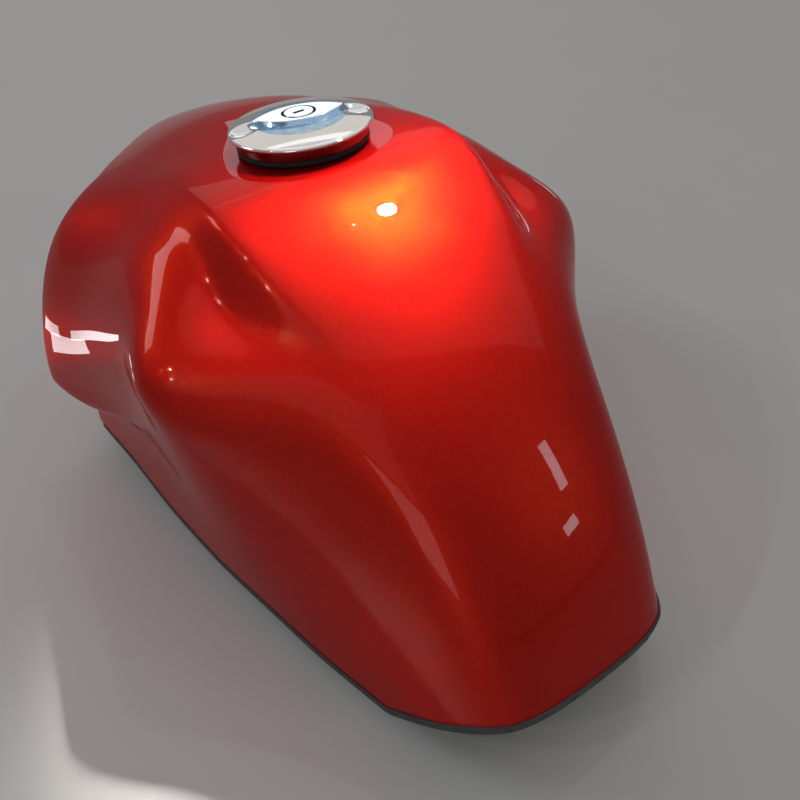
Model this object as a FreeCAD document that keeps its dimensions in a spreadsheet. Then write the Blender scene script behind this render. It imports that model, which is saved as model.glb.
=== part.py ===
import FreeCAD, Part
import math
import os
import re

# Fuel tank of a motorcycle with its key-lock filler cap.
# X runs forward, Y to the rider's left, Z up, with the tank held as on the upright machine.
# The origin is the centre of the bolt hole in the rear mounting eye.

# name, millimetres or degrees, what it is
SIZES = (
    ("tank_width", 372, "across the wings"),
    ("nose_reach", 200, "tip of the nose ahead of the filler"),
    ("tail_reach", 322, "end of the floor seam behind the filler"),
    ("seam_drop", 261, "floor seam below the cap rim"),
    ("seam_level_inset", 80, "where the seam turns up under the tail, ahead of the tail's end"),
    ("tail_rise", 55, "tail end of the seam above its level part"),
    ("deck_tilt", 10, "nose-down tilt of the cap and the deck round it"),
    ("skin_wall", 1.5, "pressed steel of the upper shell"),
    ("floor_wall", 1.5, "pressed steel of the floor"),
    ("seat_gap", 0.2, "gap left for weld or sealer between round pieces"),
    ("nose_round", 21, "where the nose's round ends, behind its tip"),
    ("nose_round_side", 48, "the same place from the middle"),
    ("nose_drop", 90, "lower edge of the nose below the cap rim"),
    ("nose_foot_rise", 75, "foot of the slope under the nose, above the floor seam"),
    ("wing_ahead", 100, "front edge of the wings ahead of the filler"),
    ("wing_corner_side", 118, "where the nose's side meets the wing's edge, from the middle"),
    ("tunnel_width", 84, "frame tunnel, clear width"),
    ("tunnel_height", 55, "roof of the frame tunnel above the floor seam"),
    ("tunnel_round", 22, "radius of the tunnel's upper corners"),
    ("tunnel_inset", 60, "closed end of the tunnel ahead of the tail's end"),
    ("recess_radius", 55, "dish pressed round the filler"),
    ("recess_depth", 3, "depth of that dish"),
    ("deck_drop", 11.5, "deck below the cap rim, along the cap's axis"),
    ("mouth_radius", 27, "clear filler mouth"),
    ("neck_wall", 1.5, "filler neck tube"),
    ("neck_length", 62, "filler neck below the skin"),
    ("restrictor_radius", 11, "nozzle hole at the foot of the neck"),
    ("ring_radius", 40, "filler ring, outside"),
    ("ring_thickness", 3, "filler ring plate"),
    ("ring_lip_wall", 3, "raised lip round the mouth"),
    ("ring_lip_rise", 1.8, "that lip above the ring"),
    ("gasket_inner_radius", 31, "rubber ring under the cap, inside"),
    ("gasket_thickness", 2.6, "rubber ring under the cap"),
    ("cap_clear", 0.3, "gap between the cap's pieces and the tank's"),
    ("cap_radius", 45, "rim of the cap"),
    ("cap_rim", 2.2, "thickness of the rim's edge"),
    ("cap_dome", 4.2, "rise of the cap's dome, in two slopes"),
    ("dome_top_radius", 18, "flat middle of the dome"),
    ("dome_break_radius", 33, "where the two slopes meet"),
    ("dome_break_rise", 2.6, "the same place above the rim"),
    ("bar_rise", 6, "flat grip bar above the rim"),
    ("bar_length", 70, "grip bar, tip to tip"),
    ("bar_width", 27, "grip bar across its middle"),
    ("bar_turn", 18, "turn of the grip bar about the cap's axis"),
    ("scoop_radius", 16, "ball that cuts the finger scoops"),
    ("scoop_depth", 3.2, "finger scoops below the dome's top"),
    ("scoop_place", 36, "finger scoops from the cap's middle"),
    ("skirt_radius", 41.5, "wall under the rim"),
    ("skirt_wall", 2, "thickness of that wall"),
    ("lock_radius", 10, "lock barrel in the grip bar"),
    ("lock_stand", 0.8, "lock face above the bar"),
    ("lock_length", 18, "lock barrel"),
    ("lock_clear", 0.15, "gap round the lock barrel"),
    ("key_slot_length", 9, "key slot"),
    ("key_slot_width", 2, "key slot across"),
    ("key_slot_depth", 6, "key slot"),
    ("insert_radius", 24, "cap insert that enters the neck"),
    ("insert_reach", 28, "foot of the insert below the rim"),
    ("insert_plate", 3, "plate that holds the insert in the skirt"),
    ("tongue_reach", 1.5, "latch tongues beyond the insert, drawn in as with the key turned"),
    ("tongue_width", 12, "latch tongues across"),
    ("tongue_thickness", 3, "latch tongues"),
    ("tongue_drop", 20, "latch tongues below the rim"),
    ("eye_inset", 32, "rear eye ahead of the tail's end"),
    ("eye_drop", 21, "rear eye below the seam over it"),
    ("eye_bore_radius", 4.25, "bolt hole of the rear eye"),
    ("sleeve_wall", 1.75, "steel sleeve in the eye"),
    ("bush_wall", 5, "rubber round the sleeve"),
    ("eye_wall", 2.5, "welded tube of the eye"),
    ("eye_width", 34, "rear eye along the bolt"),
    ("sleeve_stand", 2, "sleeve proud of the eye at each end"),
    ("bracket_wall", 3, "rear bracket plate and gussets"),
    ("bracket_width", 60, "rear bracket across the tail"),
    ("bracket_length", 44, "rear bracket fore and aft"),
    ("channel_length", 44, "front mounting channels, fore and aft"),
    ("channel_slot", 28, "front mounting channels, slot for the damper"),
    ("channel_depth", 16, "front mounting channels, out from the tunnel wall"),
    ("channel_wall", 2.5, "front mounting channels, steel"),
    ("channel_ahead", 40, "middle of the front channels ahead of the filler"),
    ("channel_rise", 16, "middle of the front channels above the floor seam"),
    ("damper_hole_radius", 6, "peg hole in the rubber damper"),
    ("pump_side", 96, "pump flange from the middle, on the left"),
    ("pump_behind", 60, "pump flange behind the filler"),
    ("pump_radius", 38, "pump flange"),
    ("pump_plate", 4, "pump flange plate"),
    ("pump_boss_radius", 20, "raised middle of the pump flange"),
    ("pump_boss", 5, "how far that middle stands down"),
    ("screw_circle", 31, "screws of the pump flange"),
    ("screw_count", 6, "how many screws hold the pump flange"),
    ("screw_radius", 4, "screw heads"),
    ("screw_head", 3, "screw heads"),
    ("outlet_radius", 4, "fuel outlet pipe"),
    ("outlet_bore", 2.5, "bore of the outlet pipe"),
    ("outlet_reach", 36, "fuel outlet pipe, run to the rear"),
    ("outlet_drop", 10, "fuel outlet pipe below the boss"),
    ("outlet_place", 9, "outlet pipe from the flange's middle"),
    ("socket_length", 20, "electrical socket on the pump flange"),
    ("socket_width", 12, "electrical socket across"),
    ("socket_drop", 14, "electrical socket below the boss"),
    ("socket_wall", 1.6, "walls of the socket"),
    ("pipe_radius", 3.5, "overflow and breather pipes"),
    ("pipe_bore", 2.3, "bore of those pipes"),
    ("pipe_stub", 22, "overflow and breather pipes below the floor"),
    ("overflow_side", 70, "overflow pipe from the middle, on the right"),
    ("breather_side", 92, "breather pipe from the middle, on the right"),
    ("pipes_behind", 30, "both pipes behind the filler"),
)
NAMES = [row[0] for row in SIZES]

# The sizes that the sections below were measured at: they stretch with the sheet's.
DRAWN = {"tank_width": 372, "nose_reach": 200, "tail_reach": 322, "seam_drop": 261}

# Half sections of the upper shell, measured from the middle of the cap rim: how far ahead, the
# height on the middle line, then (side, height) of the dome's crease, the valley beside it, the
# shoulder, the flank under the shoulder, the wing's lower lip, the knee panel's top and its foot.
SECTIONS = (
    # ahead, middle, crease, valley, shoulder, flank, lip, knee, foot
    (215, -86, (45, -94), (64, -102), (100, -125), (130, -160), (152, -215), (146, -222), (150, -275)),
    (180, -67, (54, -77), (78, -87), (112, -106), (142, -142), (166, -210), (153, -218), (157, -275)),
    (140, -48, (66, -60.5), (94, -69), (128, -86), (157, -124), (180, -208), (158, -215), (163, -275)),
    (100, -32, (72, -45.5), (105, -56.5), (142, -74), (166, -122), (186, -205), (160, -212), (165, -275)),
    (60, -22.3, (75, -33), (106, -45.5), (143, -68), (166, -112), (172, -206), (156, -206), (160, -275)),
    (20, -15, (79.5, -20), (103, -37), (141, -66), (161, -100), (158, -190), (152, -197), (156, -275)),
    (-20, -7.5, (82.5, -12), (101, -27), (139, -64), (156, -95), (152, -165), (149, -186), (152, -275)),
    (-52, -3, (84.5, -9.5), (97, -30), (144, -62), (157, -90), (153, -145), (147, -187), (147, -275)),
    (-87, -9, (81, -19.5), (100, -48), (149, -62), (157, -90), (149, -138), (143, -191), (141, -275)),
    (-120, -20, (75, -32.5), (86, -46), (124, -65), (137, -92), (137, -142), (135, -196), (134, -275)),
    (-150, -35, (65, -46.5), (73, -51), (98, -67), (110, -95), (120, -150), (125, -205), (128, -275)),
    (-185, -57, (53.5, -65), (62, -69), (80, -81), (93, -110), (107, -160), (115, -215), (121, -275)),
    (-220, -85, (49, -90), (59, -95.5), (73, -108.5), (83.5, -136), (97, -181), (106, -230), (112, -280)),
    (-260, -125, (45, -129.5), (54, -136), (66, -148.5), (76.5, -171), (87, -206), (95, -240), (101, -285)),
    (-295, -174, (44, -179), (52, -185), (61, -196), (70, -215), (78, -237), (84, -255), (89, -290)),
    (-325, -232, (42, -236), (50, -241), (58, -249), (65, -259), (71, -270), (75, -279), (79, -295)),
)
SECTION_BASE = -330
OUTER_PARTS = {"shoulder": 3, "dome": 2}
INNER_PARTS = {"shoulder": 4, "dome": 4}
PLACES = {"x": "Placement.Base.x", "y": "Placement.Base.y", "z": "Placement.Base.z",
          "turn": "Placement.Rotation.Angle"}
REACH = 400

doc = FreeCAD.newDocument("FuelTank")
sheet = doc.addObject("Spreadsheet::Sheet", "Sizes")
for row, (name, value, note) in enumerate(SIZES, 1):
    sheet.set("A%d" % row, name)
    sheet.set("B%d" % row, str(value))
    sheet.set("C%d" % row, note)
    sheet.setAlias("B%d" % row, name)
doc.recompute()


def size(name):
    return float(getattr(sheet, name))


def bind(piece, **formulas):
    """Tie properties to formulas of sheet names; x, y, z and turn place the piece."""
    for name, formula in formulas.items():
        for word in sorted(set(re.findall(r"[a-z_]+", formula)) & set(NAMES)):
            formula = re.sub(r"\b%s\b" % word, "Sizes." + word, formula)
        piece.setExpression(PLACES.get(name, name), formula)
    return piece


def add(kind, name, **formulas):
    return bind(doc.addObject("Part::" + kind, name), **formulas)


# The middle of the cap rim, seen from the rear eye.
seam_at_eye = "seam_drop - tail_rise * (seam_level_inset - eye_inset) / seam_level_inset"
filler = add("Vertex", "Filler", X="tail_reach - eye_inset", Z=seam_at_eye + " + eye_drop")
filler_x, filler_z = "(Filler.X / (1 mm))", "(Filler.Z / (1 mm))"
doc.recompute()


def rod(name, radius, length, **place):
    return add("Cylinder", name, Radius=radius, Height=length, **place)


def box(name, length, width, height, **place):
    return add("Box", name, Length=length, Width=width, Height=height, **place)


def lying(piece, axis):
    """Lay a rod or a box built along Z down along X or Y."""
    turn = FreeCAD.Rotation(FreeCAD.Vector(0, 0, 1), FreeCAD.Vector(*axis))
    piece.Placement = FreeCAD.Placement(piece.Placement.Base, turn)
    return piece


def cut(name, base, tool):
    piece = doc.addObject("Part::Cut", name)
    piece.Base, piece.Tool = base, tool
    return piece


def joined(name, *pieces):
    piece = doc.addObject("Part::MultiFuse", name)
    piece.Shapes = list(pieces)
    return piece


def shared(name, *pieces):
    piece = doc.addObject("Part::MultiCommon", name)
    piece.Shapes = list(pieces)
    return piece


def turned(piece, axis, angle):
    """Turn a piece about an axis through its own origin by a bound angle."""
    piece.Placement = FreeCAD.Placement(FreeCAD.Vector(), FreeCAD.Rotation(FreeCAD.Vector(*axis), 90))
    return bind(piece, turn=angle)


def at_filler(piece):
    """Place a piece that is drawn round the cap's axis from the middle of the cap rim."""
    return bind(turned(piece, (0, 1, 0), "deck_tilt"), x="Filler.X", z="Filler.Z")


def from_shape(name, shape):
    """A sub-part whose shape is worked out here, measured from the middle of the cap rim."""
    piece = doc.addObject("Part::Feature", name)
    piece.Shape = shape
    piece.Placement = FreeCAD.Placement(FreeCAD.Vector(filler.X, 0, filler.Z), FreeCAD.Rotation())
    return piece


def inset(points, wall):
    """A closed outline of (side, height) points moved inward by the wall."""
    moved = []
    for i, (side, height) in enumerate(points):
        before, after = points[i - 1], points[(i + 1) % len(points)]
        arriving = math.atan2(height - before[1], side - before[0])
        leaving = math.atan2(after[1] - height, after[0] - side)
        half = ((leaving - arriving + math.pi) % (2 * math.pi) - math.pi) / 2
        inward = arriving + half - math.pi / 2
        reach = wall / max(math.cos(half), 0.5)
        moved.append((side + reach * math.cos(inward), height + reach * math.sin(inward)))
    return moved


def stretched(section):
    """A half section scaled to the sheet's sizes: how far ahead, and its points from the top down."""
    reach = "nose_reach" if section[0] > 0 else "tail_reach"
    along, across, down = [size(name) / DRAWN[name] for name in (reach, "tank_width", "seam_drop")]
    half = ((0, section[1]),) + section[2:] + ((section[-1][0], SECTION_BASE),)
    return section[0] * along, [(side * across, height * down) for side, height in half]


def divided(arc, count, straight):
    """An arc as several arcs end to end, or as its chords."""
    span = (arc.LastParameter - arc.FirstParameter) / count / 2
    at = [arc.value(arc.FirstParameter + span * i) for i in range(2 * count + 1)]
    if straight:
        return [Part.LineSegment(at[i], at[i + 2]) for i in range(0, 2 * count, 2)]
    return [Part.Arc(at[i], at[i + 1], at[i + 2]) for i in range(0, 2 * count, 2)]


def section_wire(section, wall):
    """One closed section: a base, knees, lips, shoulder arcs, cheeks and the dome's arc."""
    ahead, half = stretched(section)
    outline = [(-side, height) for side, height in reversed(half[1:])] + half
    if wall:
        outline = inset(outline, wall)
    point = [FreeCAD.Vector(ahead, side, height) for side, height in outline]
    base, foot, knee, lip, flank, shoulder, valley, crease, top = range(9)
    last = len(point) - 1
    parts = INNER_PARTS if wall else OUTER_PARTS
    edges = [Part.LineSegment(point[i], point[i + 1]) for i in (base, foot, knee, lip)]
    edges += divided(Part.Arc(point[flank], point[shoulder], point[valley]), parts["shoulder"], wall)
    edges.append(Part.LineSegment(point[valley], point[crease]))
    edges += divided(Part.Arc(point[crease], point[top], point[last - crease]), parts["dome"], wall)
    edges.append(Part.LineSegment(point[last - crease], point[last - valley]))
    edges += divided(Part.Arc(point[last - valley], point[last - shoulder], point[last - flank]),
                     parts["shoulder"], wall)
    edges += [Part.LineSegment(point[last - i], point[last - i + 1]) for i in (flank, lip, knee, foot)]
    edges.append(Part.LineSegment(point[last], point[base]))
    return Part.Wire([edge.toShape() for edge in edges])


def shell_body(wall):
    """The outer form of the upper shell, or its inner face in flat strips at least a wall inside it."""
    return Part.makeLoft([section_wire(section, wall) for section in SECTIONS], True, bool(wall))


def side_prism(outline, half_width):
    """A solid swept across the tank from an outline of (ahead, height) points."""
    corners = [FreeCAD.Vector(ahead, -half_width, height) for ahead, height in outline]
    face = Part.Face(Part.makePolygon(corners + corners[:1]))
    return face.extrude(FreeCAD.Vector(0, 2 * half_width, 0))


def seam_height(ahead):
    """Height of the floor seam: level, then up under the tail."""
    beyond = max(-ahead - size("tail_reach") + size("seam_level_inset"), 0)
    return -size("seam_drop") + size("tail_rise") * beyond / size("seam_level_inset")


def above_seam(drop):
    """Everything above the floor seam, lowered by a wall or so."""
    stations = (REACH, size("seam_level_inset") - size("tail_reach"), -REACH)
    foot = [(ahead, seam_height(ahead) - drop) for ahead in stations]
    return side_prism(foot + [(-REACH, REACH), (REACH, REACH)], REACH)


def behind_lip(wall):
    """Everything behind the nose and the wings' front edges, and above the slope under the nose."""
    tip = (size("nose_reach") - wall, 0)
    round_end = (tip[0] - size("nose_round"), size("nose_round_side") - wall / 2)
    corner = (size("wing_ahead") - wall, size("wing_corner_side") - wall / 2)
    half = (round_end, corner, (corner[0], REACH), (-REACH, REACH))
    plan = [(ahead, -side) for ahead, side in reversed(half)] + [tip] + list(half)
    point = [FreeCAD.Vector(ahead, side, -REACH) for ahead, side in plan]
    edges = [Part.LineSegment(point[i], point[(i + 1) % len(point)]) for i in (0, 1, 2, 5, 6, 7, 8)]
    edges.insert(3, Part.Arc(point[3], point[4], point[5]))
    face = Part.Face(Part.Wire([edge.toShape() for edge in edges]))
    drop = wall - size("nose_drop")
    foot = wall + size("nose_foot_rise") - size("seam_drop")
    slope = ((REACH, drop), (tip[0] - wall, drop), (corner[0], foot), (corner[0], -REACH), (REACH, -REACH))
    return face.extrude(FreeCAD.Vector(0, 0, 2 * REACH)).cut(side_prism(slope, REACH))


def tilted(shape):
    """Turn a shape drawn round the cap's axis into the level frame of the sections."""
    return shape.rotated(FreeCAD.Vector(0, 0, 0), FreeCAD.Vector(0, 1, 0), size("deck_tilt"))


def tunnel(grow):
    """The frame tunnel under the tank: an arch swept fore and aft, closed behind."""
    half = size("tunnel_width") / 2 + grow
    roof = size("tunnel_height") - size("seam_drop") + grow
    rear = size("tunnel_inset") - size("tail_reach") - grow
    arch = Part.makeBox(REACH - rear, 2 * half, REACH, FreeCAD.Vector(rear, -half, roof - REACH))
    upper = [edge for edge in arch.Edges if edge.BoundBox.ZMin > roof - 1 and edge.BoundBox.XLength > half]
    return arch.makeFillet(size("tunnel_round") + grow, upper)


def recess(grow):
    """The dish round the filler with a drafted side, and the space above it."""
    depth = size("recess_depth")
    floor = -size("deck_drop") - depth - grow
    wide = size("recess_radius") + grow
    dish = Part.makeCone(wide - depth, wide, depth, FreeCAD.Vector(0, 0, floor))
    space = Part.makeCylinder(wide, REACH, FreeCAD.Vector(0, 0, floor + depth))
    return tilted(dish.fuse(space))


# Upper shell, open below, and the floor with its tunnel.
skin_wall, floor_wall = size("skin_wall"), size("floor_wall")
outer = shell_body(0).common(behind_lip(0))
inner = shell_body(skin_wall).common(behind_lip(skin_wall))
hole = size("mouth_radius") + size("neck_wall") + size("seat_gap")
neck_hole = tilted(Part.makeCylinder(hole, REACH, FreeCAD.Vector(0, 0, -REACH / 2)))
cavity = inner.common(above_seam(floor_wall * 2)).cut(recess(skin_wall))
skin = outer.common(above_seam(0)).cut(recess(0)).cut(cavity).cut(neck_hole).cut(tunnel(floor_wall))
from_shape("tank_skin", skin)

band = outer.common(above_seam(floor_wall)).cut(above_seam(0)).cut(tunnel(floor_wall))
arch = tunnel(floor_wall).cut(tunnel(0)).common(inner).common(above_seam(floor_wall))
from_shape("tank_floor", band.fuse(arch).removeSplitter())

# Filler ring and neck, under the cap.
ring_foot = "-deck_drop - recess_depth"
ring = joined("RingBlank",
              rod("RingPlate", "ring_radius", "ring_thickness", z=ring_foot),
              rod("RingLip", "mouth_radius + ring_lip_wall", "ring_lip_rise + ring_thickness", z=ring_foot))
at_filler(cut("filler_ring", ring, rod("Mouth", "mouth_radius", "deck_drop", z=ring_foot)))

neck_top = ring_foot + " - neck_length"
neck_tube = rod("NeckTube", "mouth_radius + neck_wall", "neck_length", z=neck_top)
neck_bores = joined("NeckBores",
                    rod("NeckBore", "mouth_radius", "neck_length", z=neck_top + " + neck_wall"),
                    rod("NozzleHole", "restrictor_radius", "neck_length", z=neck_top + " - neck_wall"))
at_filler(cut("filler_neck", neck_tube, neck_bores))

# Cap: chrome shell, lock barrel, insert with its tongues, and the rubber ring.
skirt_foot = "-deck_drop + gasket_thickness + cap_clear"
rim = rod("CapRim", "cap_radius", "cap_rim", z="-cap_rim")
slopes = [add("Cone", "DomeFoot", Radius1="cap_radius", Radius2="dome_break_radius",
              Height="dome_break_rise"),
          add("Cone", "DomeTop", Radius1="dome_break_radius", Radius2="dome_top_radius",
              Height="cap_dome - dome_break_rise", z="dome_break_rise")]
bar_ball = "(bar_length ^ 2 + bar_width ^ 2) / (4 * bar_width)"
bar = shared("GripBar", *[rod("BarSide%d" % sign, bar_ball, "bar_rise + cap_rim", z="-cap_rim",
                              y="%d * (%s - bar_width / 2)" % (sign, bar_ball)) for sign in (-1, 1)])
turned(bar, (0, 0, 1), "90 - bar_turn")
scoops = [add("Sphere", "Scoop%d" % end, Radius="scoop_radius",
              x="%d * scoop_place * sin(bar_turn)" % end, y="%d * scoop_place * cos(bar_turn)" % end,
              z="cap_dome - scoop_depth + scoop_radius") for end in (-1, 1)]
skirt = cut("Skirt", rod("SkirtWall", "skirt_radius", "-cap_rim - (%s)" % skirt_foot, z=skirt_foot),
            rod("SkirtBore", "skirt_radius - skirt_wall", "skirt_radius", z=skirt_foot))
dome = cut("ScoopedDome", joined("Dome", rim, *slopes), joined("Scoops", *scoops))
lock_foot = "bar_rise + lock_stand - lock_length"
lock_hole = rod("LockHole", "lock_radius + lock_clear", "lock_length + cap_rim", z=lock_foot)
at_filler(cut("cap_shell", joined("CapTop", dome, bar, skirt), lock_hole))

barrel = rod("Barrel", "lock_radius", "lock_length", z=lock_foot)
slot = box("KeySlot", "key_slot_width", "key_slot_length", "key_slot_depth",
           x="-key_slot_width / 2", y="-key_slot_length / 2", z="bar_rise + lock_stand - key_slot_depth")
at_filler(cut("lock_barrel", barrel, slot))

plate = rod("InsertPlate", "skirt_radius - skirt_wall - lock_clear", "insert_plate",
            z="-cap_rim - insert_plate")
stem = rod("InsertStem", "insert_radius", "insert_reach - cap_rim", z="-insert_reach")
tongues = box("Tongues", "tongue_width", "2 * (insert_radius + tongue_reach)", "tongue_thickness",
              x="-tongue_width / 2", y="-insert_radius - tongue_reach", z="-tongue_drop")
insert = joined("InsertBlank", plate, stem, tongues)
at_filler(cut("cap_insert", insert,
              rod("BarrelPocket", "lock_radius + lock_clear", "lock_length", z=lock_foot + " - lock_clear")))

at_filler(cut("cap_gasket",
              rod("GasketDisc", "skirt_radius", "gasket_thickness", z="-deck_drop + cap_clear"),
              rod("GasketHole", "gasket_inner_radius", "gasket_thickness", z="-deck_drop + cap_clear")))

# Rear eye: a bracket under the tail with a welded tube, rubber bush and steel sleeve.
sleeve_radius = "eye_bore_radius + sleeve_wall"
bush_radius = sleeve_radius + " + bush_wall"
eye_radius = size("eye_bore_radius") + size("sleeve_wall") + size("bush_wall") + size("eye_wall")
eye_ahead, eye_height = -filler.X.Value, -filler.Z.Value
bracket_wall, half_length = size("bracket_wall"), size("bracket_length") / 2
bracket_ends = (eye_ahead + half_length, eye_ahead - half_length)
under = [(ahead, seam_height(ahead) - floor_wall) for ahead in bracket_ends]
foot = [(ahead, height - bracket_wall) for ahead, height in reversed(under)]
bracket = side_prism(under + foot, size("bracket_width") / 2)
half_eye = size("eye_width") / 2
gusset = side_prism(under + [(eye_ahead - eye_radius, eye_height), (eye_ahead + eye_radius, eye_height)],
                    half_eye)
between = [(eye_ahead - REACH, eye_height - REACH), (eye_ahead + REACH, eye_height - REACH)]
gusset = gusset.cut(side_prism(under + between, half_eye - bracket_wall))
eye_end = FreeCAD.Vector(eye_ahead, -half_eye, eye_height)
eye_tube, eye_bore = [Part.makeCylinder(radius, 2 * half_eye, eye_end, FreeCAD.Vector(0, 1, 0))
                      for radius in (eye_radius, eye_radius - size("eye_wall"))]
from_shape("rear_bracket", bracket.fuse(gusset).fuse(eye_tube).cut(eye_bore).removeSplitter())


def across(name, radius, length):
    """A rod along the rear bolt, centred on the origin."""
    return bind(lying(rod(name, radius, length), (0, 1, 0)), y="-(%s) / 2" % length)


sleeve_length = "eye_width + 2 * sleeve_stand"
cut("rear_bush", across("BushTube", bush_radius, "eye_width"), across("BushBore", sleeve_radius, "eye_width"))
cut("rear_sleeve", across("SleeveTube", sleeve_radius, sleeve_length),
    across("SleeveBore", "eye_bore_radius", sleeve_length))

# Front channels on the tunnel walls, open to the front, each with its rubber damper.
channel_height = filler_z + " - seam_drop + channel_rise"
for side, sign in (("left", 1), ("right", -1)):
    outside = "tunnel_width / 2" if sign > 0 else "-tunnel_width / 2 + channel_depth"
    blank = box("ChannelBlank_" + side, "channel_length", "channel_depth", "channel_slot + 2 * channel_wall",
                x=filler_x + " + channel_ahead - channel_length / 2",
                y="%s - channel_depth" % outside,
                z=channel_height + " - channel_slot / 2 - channel_wall")
    gap = box("ChannelSlot_" + side, "channel_length", "channel_depth", "channel_slot",
              x=filler_x + " + channel_ahead - channel_length / 2 + channel_wall",
              y="%s - channel_depth - %d * channel_wall" % (outside, sign),
              z=channel_height + " - channel_slot / 2")
    cut("front_channel_" + side, blank, gap)
    inner_side = "%s - channel_depth" % outside + (" + channel_wall" if sign < 0 else "")
    rubber = [rod(name + side, radius, "channel_depth - channel_wall",
                  x=filler_x + " + channel_ahead + channel_wall", z=channel_height)
              for name, radius in (("DamperDisc_", "channel_slot / 2 - seat_gap"),
                                   ("DamperHole_", "damper_hole_radius"))]
    for piece in rubber:
        bind(lying(piece, (0, 1, 0)), y=inner_side)
    cut("front_damper_" + side, *rubber)

# Pump flange under the floor on the left, moulded with its outlet and socket, and its screws.
pump_ahead, pump_face = filler_x + " - pump_behind", filler_z + " - seam_drop - floor_wall"
boss_face = pump_face + " - pump_plate - pump_boss"
outlet_x, outlet_z = pump_ahead + " - outlet_place", boss_face + " - outlet_drop"


def outlet(name, radius):
    """The outlet pipe, or its bore: down from the boss, round a bend and to the rear."""
    return [rod(name + "Down", radius, "outlet_drop", x=outlet_x, y="pump_side", z=outlet_z),
            add("Sphere", name + "Bend", Radius=radius, x=outlet_x, y="pump_side", z=outlet_z),
            bind(lying(rod(name + "Run", radius, "outlet_reach"), (-1, 0, 0)),
                 x=outlet_x, y="pump_side", z=outlet_z)]


socket_x, socket_y = outlet_x + " + 2 * outlet_radius", "pump_side - socket_width / 2"
socket_z = boss_face + " - socket_drop"
flange = joined("PumpBlank",
                rod("PumpPlate", "pump_radius", "pump_plate", x=pump_ahead, y="pump_side",
                    z=pump_face + " - pump_plate"),
                rod("PumpBoss", "pump_boss_radius", "pump_boss", x=pump_ahead, y="pump_side", z=boss_face),
                box("SocketBlock", "socket_length", "socket_width", "socket_drop",
                    x=socket_x, y=socket_y, z=socket_z),
                *outlet("Outlet", "outlet_radius"))
socket_mouth = box("SocketMouth", "socket_length - 2 * socket_wall", "socket_width - 2 * socket_wall",
                   "socket_drop - socket_wall",
                   x=socket_x + " + socket_wall", y=socket_y + " + socket_wall", z=socket_z)
cut("pump_flange", flange, joined("PumpBores", socket_mouth, *outlet("OutletBore", "outlet_bore")))

screws = []
for i in range(int(size("screw_count"))):
    angle = "(360 * %d / screw_count)" % i
    screws.append(add("Prism", "Screw%d" % i, Circumradius="screw_radius", Height="screw_head",
                      x="%s + screw_circle * cos%s" % (pump_ahead, angle),
                      y="pump_side + screw_circle * sin%s" % angle,
                      z=pump_face + " - pump_plate - screw_head"))
joined("pump_screws", *screws)

# Overflow and breather pipes under the floor on the right.
for name, side in (("overflow_pipe", "overflow_side"), ("breather_pipe", "breather_side")):
    tube, bore = [rod(name + end, radius, "pipe_stub",
                      x=filler_x + " - pipes_behind", y="-" + side, z=pump_face + " - pipe_stub")
                  for end, radius in (("_tube", "pipe_radius"), ("_bore", "pipe_bore"))]
    cut(name, tube, bore)

doc.recompute()
parts = [piece for piece in doc.Objects if piece.isDerivedFrom("Part::Feature")
         and not [user for user in piece.InList if user.isDerivedFrom("Part::Feature")]]
for piece in doc.Objects:
    if "Invalid" in piece.State or "Error" in piece.State:
        raise RuntimeError("%s did not compute: %s" % (piece.Name, piece.State))
for piece in parts:
    if piece.Shape.isNull() or not piece.Shape.isValid():
        raise RuntimeError("%s has no valid shape" % piece.Label)

os.makedirs("parts", exist_ok=True)
for piece in parts:
    piece.Label = piece.Name
    piece.Shape.exportStep("parts/%s.step" % piece.Label)
    bounds = piece.Shape.BoundBox
    print("%-22s %d solid %8.1f cm3  x %.1f..%.1f  y %.1f..%.1f  z %.1f..%.1f" % (
        piece.Label, len(piece.Shape.Solids), piece.Shape.Volume / 1000,
        bounds.XMin, bounds.XMax, bounds.YMin, bounds.YMax, bounds.ZMin, bounds.ZMax))
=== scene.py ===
import math

import bmesh
import bpy
import numpy as np
from mathutils import Euler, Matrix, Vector
from mathutils.bvhtree import BVHTree


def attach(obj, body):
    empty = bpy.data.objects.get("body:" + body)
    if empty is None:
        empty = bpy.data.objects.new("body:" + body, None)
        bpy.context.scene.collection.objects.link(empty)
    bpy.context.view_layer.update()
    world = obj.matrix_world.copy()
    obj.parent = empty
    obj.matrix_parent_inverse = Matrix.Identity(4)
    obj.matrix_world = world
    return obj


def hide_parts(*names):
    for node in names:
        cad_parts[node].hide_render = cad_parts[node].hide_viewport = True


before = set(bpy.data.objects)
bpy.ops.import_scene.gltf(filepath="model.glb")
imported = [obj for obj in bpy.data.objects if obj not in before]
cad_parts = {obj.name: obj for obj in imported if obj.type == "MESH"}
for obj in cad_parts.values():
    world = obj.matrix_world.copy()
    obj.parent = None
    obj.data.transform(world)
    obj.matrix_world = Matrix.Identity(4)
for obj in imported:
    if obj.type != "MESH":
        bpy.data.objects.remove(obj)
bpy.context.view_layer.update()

# Lengths are millimetres, measured from the middle of the cap's rim, until a piece is placed.
MM = 0.001
RIM_MIDDLE = np.array([290.0, 0.0, 249.0])
DECK_TILT = math.radians(10)
CAP_AXIS = np.array([math.sin(DECK_TILT), 0.0, math.cos(DECK_TILT)])
CAP_AHEAD = np.array([math.cos(DECK_TILT), 0.0, -math.sin(DECK_TILT)])
FLOOR_HEIGHT = -0.0372

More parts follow.
